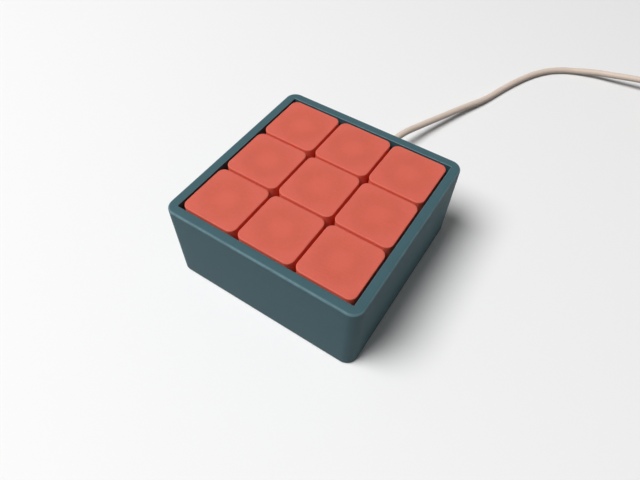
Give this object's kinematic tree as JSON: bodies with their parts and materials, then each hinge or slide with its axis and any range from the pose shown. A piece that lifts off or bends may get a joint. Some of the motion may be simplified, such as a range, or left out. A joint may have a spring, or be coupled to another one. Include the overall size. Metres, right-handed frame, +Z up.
{
  "type": "macro keypad",
  "caption": "Small square desktop keypad with sunken printed keycaps over mechanical switches, on a thin white cord.",
  "frame": {"origin": "centre of the case's footprint on the surface it stands on", "axes": "+Z up, out of the key tops; +Y to the rear, where the cord leaves; +X to the right as the keys are used"},
  "size_m": [0.1608, 0.1852, 0.0285],
  "materials": {
    "case_plastic": "printed, matte with a faint sheen",
    "cover_plastic": "printed, matte",
    "plate_plastic": "printed, matte",
    "cap_plastic": "printed, matte",
    "stem_plastic": "moulded, smooth",
    "housing_plastic": "moulded, satin",
    "spring_steel": "drawn wire",
    "screw_steel": "zinc plated",
    "foot_rubber": "matte",
    "board_laminate": "solder mask",
    "chip_resin": "moulded resin",
    "socket_steel": "tinned",
    "contact_brass": "plated",
    "cord_jacket": "soft satin jacket",
    "cord_moulding": "moulded, satin",
    "tie_strap": "woven strap"
  },
  "bodies": {
    "root": {"case": "case_plastic", "base_cover": "cover_plastic", "cover_screws": "screw_steel", "rubber_feet": "foot_rubber", "switch_plate": "plate_plastic", "key_board": "board_laminate", "controller_chip": "chip_resin", "diodes": "chip_resin", "usb_socket": "socket_steel", "switch_contacts": "contact_brass", "switch_top_front_left": "housing_plastic", "switch_top_front_centre": "housing_plastic", "switch_top_front_right": "housing_plastic", "switch_top_middle_left": "housing_plastic", "switch_top_middle_centre": "housing_plastic", "switch_top_middle_right": "housing_plastic", "switch_top_rear_left": "housing_plastic", "switch_top_rear_centre": "housing_plastic", "switch_top_rear_right": "housing_plastic", "switch_base_front_left": "housing_plastic", "switch_base_front_centre": "housing_plastic", "switch_base_front_right": "housing_plastic", "switch_base_middle_left": "housing_plastic", "switch_base_middle_centre": "housing_plastic", "switch_base_middle_right": "housing_plastic", "switch_base_rear_left": "housing_plastic", "switch_base_rear_centre": "housing_plastic", "switch_base_rear_right": "housing_plastic", "spring_front_left": "spring_steel", "spring_front_centre": "spring_steel", "spring_front_right": "spring_steel", "spring_middle_left": "spring_steel", "spring_middle_centre": "spring_steel", "spring_middle_right": "spring_steel", "spring_rear_left": "spring_steel", "spring_rear_centre": "spring_steel", "spring_rear_right": "spring_steel", "cable_connector": "cord_moulding", "cable_lead": "cord_jacket", "cable_coil": "cord_jacket", "cable_tie": "tie_strap", "cable_plug": "cord_moulding"},
    "key_front_left": {"keycap_front_left": "cap_plastic", "stem_front_left": "stem_plastic"},
    "key_front_centre": {"keycap_front_centre": "cap_plastic", "stem_front_centre": "stem_plastic"},
    "key_front_right": {"keycap_front_right": "cap_plastic", "stem_front_right": "stem_plastic"},
    "key_middle_left": {"keycap_middle_left": "cap_plastic", "stem_middle_left": "stem_plastic"},
    "key_middle_centre": {"keycap_middle_centre": "cap_plastic", "stem_middle_centre": "stem_plastic"},
    "key_middle_right": {"keycap_middle_right": "cap_plastic", "stem_middle_right": "stem_plastic"},
    "key_rear_left": {"keycap_rear_left": "cap_plastic", "stem_rear_left": "stem_plastic"},
    "key_rear_centre": {"keycap_rear_centre": "cap_plastic", "stem_rear_centre": "stem_plastic"},
    "key_rear_right": {"keycap_rear_right": "cap_plastic", "stem_rear_right": "stem_plastic"}
  },
  "joints": [
    {"name": "front_left_travel", "type": "slide", "parent": "root", "child": "key_front_left", "axis": [0, 0, -1], "range_m": [0, 0.004], "stiffness_N_per_m": 75, "springref_m": -0.006, "deforming": ["spring_front_left"]},
    {"name": "front_centre_travel", "type": "slide", "parent": "root", "child": "key_front_centre", "axis": [0, 0, -1], "range_m": [0, 0.004], "stiffness_N_per_m": 75, "springref_m": -0.006, "deforming": ["spring_front_centre"]},
    {"name": "front_right_travel", "type": "slide", "parent": "root", "child": "key_front_right", "axis": [0, 0, -1], "range_m": [0, 0.004], "stiffness_N_per_m": 75, "springref_m": -0.006, "deforming": ["spring_front_right"]},
    {"name": "middle_left_travel", "type": "slide", "parent": "root", "child": "key_middle_left", "axis": [0, 0, -1], "range_m": [0, 0.004], "stiffness_N_per_m": 75, "springref_m": -0.006, "deforming": ["spring_middle_left"]},
    {"name": "middle_centre_travel", "type": "slide", "parent": "root", "child": "key_middle_centre", "axis": [0, 0, -1], "range_m": [0, 0.004], "stiffness_N_per_m": 75, "springref_m": -0.006, "deforming": ["spring_middle_centre"]},
    {"name": "middle_right_travel", "type": "slide", "parent": "root", "child": "key_middle_right", "axis": [0, 0, -1], "range_m": [0, 0.004], "stiffness_N_per_m": 75, "springref_m": -0.006, "deforming": ["spring_middle_right"]},
    {"name": "rear_left_travel", "type": "slide", "parent": "root", "child": "key_rear_left", "axis": [0, 0, -1], "range_m": [0, 0.004], "stiffness_N_per_m": 75, "springref_m": -0.006, "deforming": ["spring_rear_left"]},
    {"name": "rear_centre_travel", "type": "slide", "parent": "root", "child": "key_rear_centre", "axis": [0, 0, -1], "range_m": [0, 0.004], "stiffness_N_per_m": 75, "springref_m": -0.006, "deforming": ["spring_rear_centre"]},
    {"name": "rear_right_travel", "type": "slide", "parent": "root", "child": "key_rear_right", "axis": [0, 0, -1], "range_m": [0, 0.004], "stiffness_N_per_m": 75, "springref_m": -0.006, "deforming": ["spring_rear_right"]}
  ]
}
